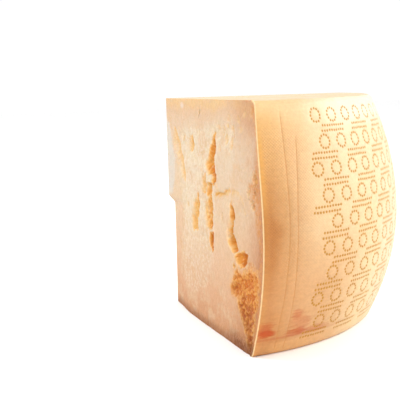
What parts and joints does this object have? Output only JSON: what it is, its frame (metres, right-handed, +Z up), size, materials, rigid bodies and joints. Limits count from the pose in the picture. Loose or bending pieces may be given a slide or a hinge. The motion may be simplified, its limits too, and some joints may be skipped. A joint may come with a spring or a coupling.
{
  "type": "quarter wheel of hard cheese",
  "caption": "Quarter of a barrel-sided wheel of hard grainy cheese, with two split, craggy cut faces and a rounded rind.",
  "frame": {"origin": "middle of the bounding box's underside, on the flat face that the cheese stands on", "axes": "+Z up along the wheel's axis, which is the vertical edge at low X and high Y; the craggy front cut faces -X, the other cut faces +Y, and the rind curves round from -Y to +X"},
  "size_m": [0.2175, 0.2175, 0.2],
  "materials": {
    "cheese": null
  },
  "bodies": {
    "root": {"cheese_quarter": "cheese"}
  },
  "joints": []
}
